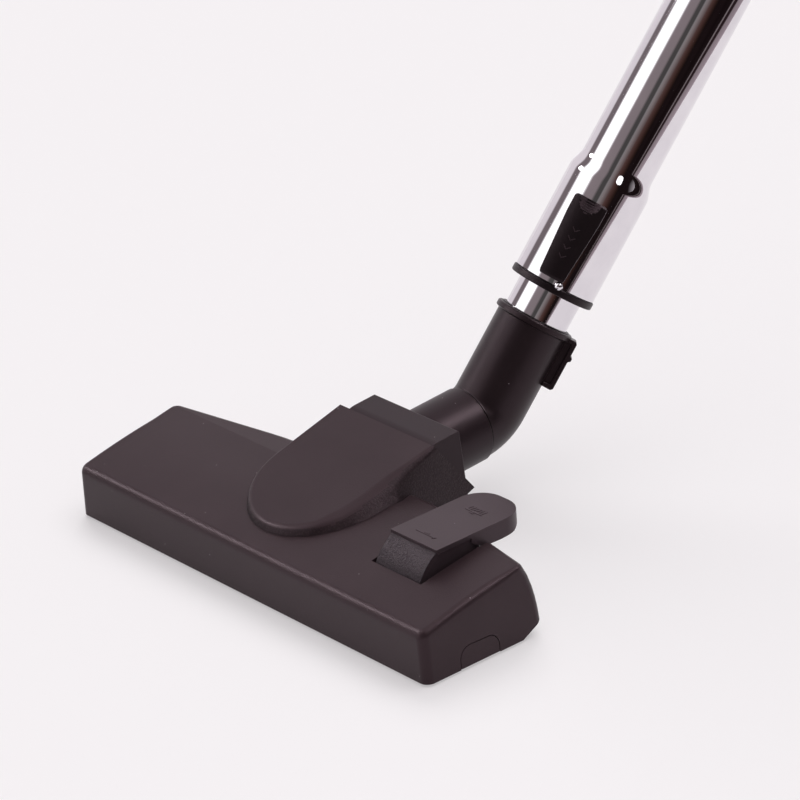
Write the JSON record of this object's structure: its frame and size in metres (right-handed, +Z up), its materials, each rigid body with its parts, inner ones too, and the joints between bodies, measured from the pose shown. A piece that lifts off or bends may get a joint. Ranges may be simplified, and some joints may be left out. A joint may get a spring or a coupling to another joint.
{
  "type": "vacuum cleaner floor head and wand",
  "caption": "Floor head of a vacuum cleaner with a rocker pedal that lowers brushes, a tilting and swivelling neck, and a chrome telescopic wand.",
  "frame": {"origin": "on the underside of the sole plate, midway along the head, 46 mm behind the lower front edge", "axes": "+X along the head towards the pedal side, +Y from the front edge to the neck and wand, +Z up from the floor"},
  "size_m": [0.256, 0.4949, 0.4953],
  "materials": {
    "shell_plastic": "fine grained moulding, dark warm brown-black",
    "black_plastic": "satin black moulding",
    "pedal_plastic": "grey grained moulding with a smooth top",
    "sole_metal": "brushed stainless steel",
    "chrome_tube": "polished chrome plate",
    "rubber_parts": "matt black rubber",
    "lint_fabric": "short red pile that catches threads",
    "bristle_nylon": "dense black nylon bristles",
    "steel_parts": "zinc-plated steel"
  },
  "bodies": {
    "head": {"top_shell": "shell_plastic", "neck_cover": "shell_plastic", "base_tray": "black_plastic", "sole_plate": "sole_metal", "duct_cover": "black_plastic", "drum_seal": "rubber_parts", "pedal_pin": "steel_parts", "pedal_spring": "steel_parts", "end_plug_left": "shell_plastic", "lint_strip_left": "lint_fabric", "wheel_axle_left": "steel_parts", "brush_spring_left": "steel_parts", "pivot_pin_left": "steel_parts", "end_plug_right": "shell_plastic", "lint_strip_right": "lint_fabric", "wheel_axle_right": "steel_parts", "brush_spring_right": "steel_parts", "pivot_pin_right": "steel_parts", "base_screw_1": "steel_parts", "base_screw_2": "steel_parts", "base_screw_3": "steel_parts", "base_screw_4": "steel_parts", "base_screw_5": "steel_parts", "base_screw_6": "steel_parts"},
    "rear_wheel_left_body": {"rear_wheel_left": "rubber_parts"},
    "rear_wheel_right_body": {"rear_wheel_right": "rubber_parts"},
    "pedal_body": {"pedal": "pedal_plastic"},
    "brush_lift": {"brush_frame": "black_plastic", "front_bristles": "bristle_nylon", "rear_bristles": "bristle_nylon"},
    "neck": {"neck_block": "shell_plastic"},
    "elbow_body": {"elbow": "shell_plastic", "swivel_seal": "rubber_parts", "collar_ring": "black_plastic", "inner_tube": "chrome_tube", "inner_end_guide": "black_plastic"},
    "outer_wand": {"outer_tube": "chrome_tube", "end_ring": "black_plastic", "lower_guide": "black_plastic", "upper_guide": "black_plastic", "top_ferrule": "black_plastic", "latch_spring": "steel_parts"},
    "latch": {"latch_slider": "black_plastic", "latch_carrier": "black_plastic"}
  },
  "joints": [
    {"name": "pedal_rock", "type": "hinge", "parent": "head", "child": "pedal_body", "pos_m": [0.0814, 0.008, 0.015], "axis": [1, 0, 0], "range_deg": [-14, 0]},
    {"name": "brush_drop", "type": "slide", "parent": "head", "child": "brush_lift", "axis": [0, 0, 1], "range_m": [-0.004, 0], "deforming": ["brush_spring_left", "brush_spring_right"]},
    {"name": "wheel_spin_left", "type": "hinge", "parent": "head", "child": "rear_wheel_left_body", "pos_m": [-0.108, 0.0155, 0.0068], "axis": [1, 0, 0], "continuous": true},
    {"name": "wheel_spin_right", "type": "hinge", "parent": "head", "child": "rear_wheel_right_body", "pos_m": [0.108, 0.0155, 0.0068], "axis": [1, 0, 0], "continuous": true},
    {"name": "neck_tilt", "type": "hinge", "parent": "head", "child": "neck", "pos_m": [0, 0.052, 0.0348], "axis": [1, 0, 0], "range_deg": [-22, 21]},
    {"name": "elbow_swivel", "type": "hinge", "parent": "neck", "child": "elbow_body", "pos_m": [0, 0.0932, 0.03768], "axis": [0, 0.9976, 0.0698], "range_deg": [-100, 80]},
    {"name": "wand_telescope", "type": "slide", "parent": "elbow_body", "child": "outer_wand", "axis": [0.133, 0.5886, 0.7974], "range_m": [0, 0.325]},
    {"name": "latch_press", "type": "slide", "parent": "outer_wand", "child": "latch", "axis": [0.133, 0.5886, 0.7974], "range_m": [-0.0025, 0], "stiffness_N_per_m": 400, "springref_m": 0.004, "deforming": ["latch_spring"]}
  ],
  "couplings": [
    {"joint": "brush_drop", "follows": "pedal_rock", "m_per_rad": 0.01637}
  ]
}
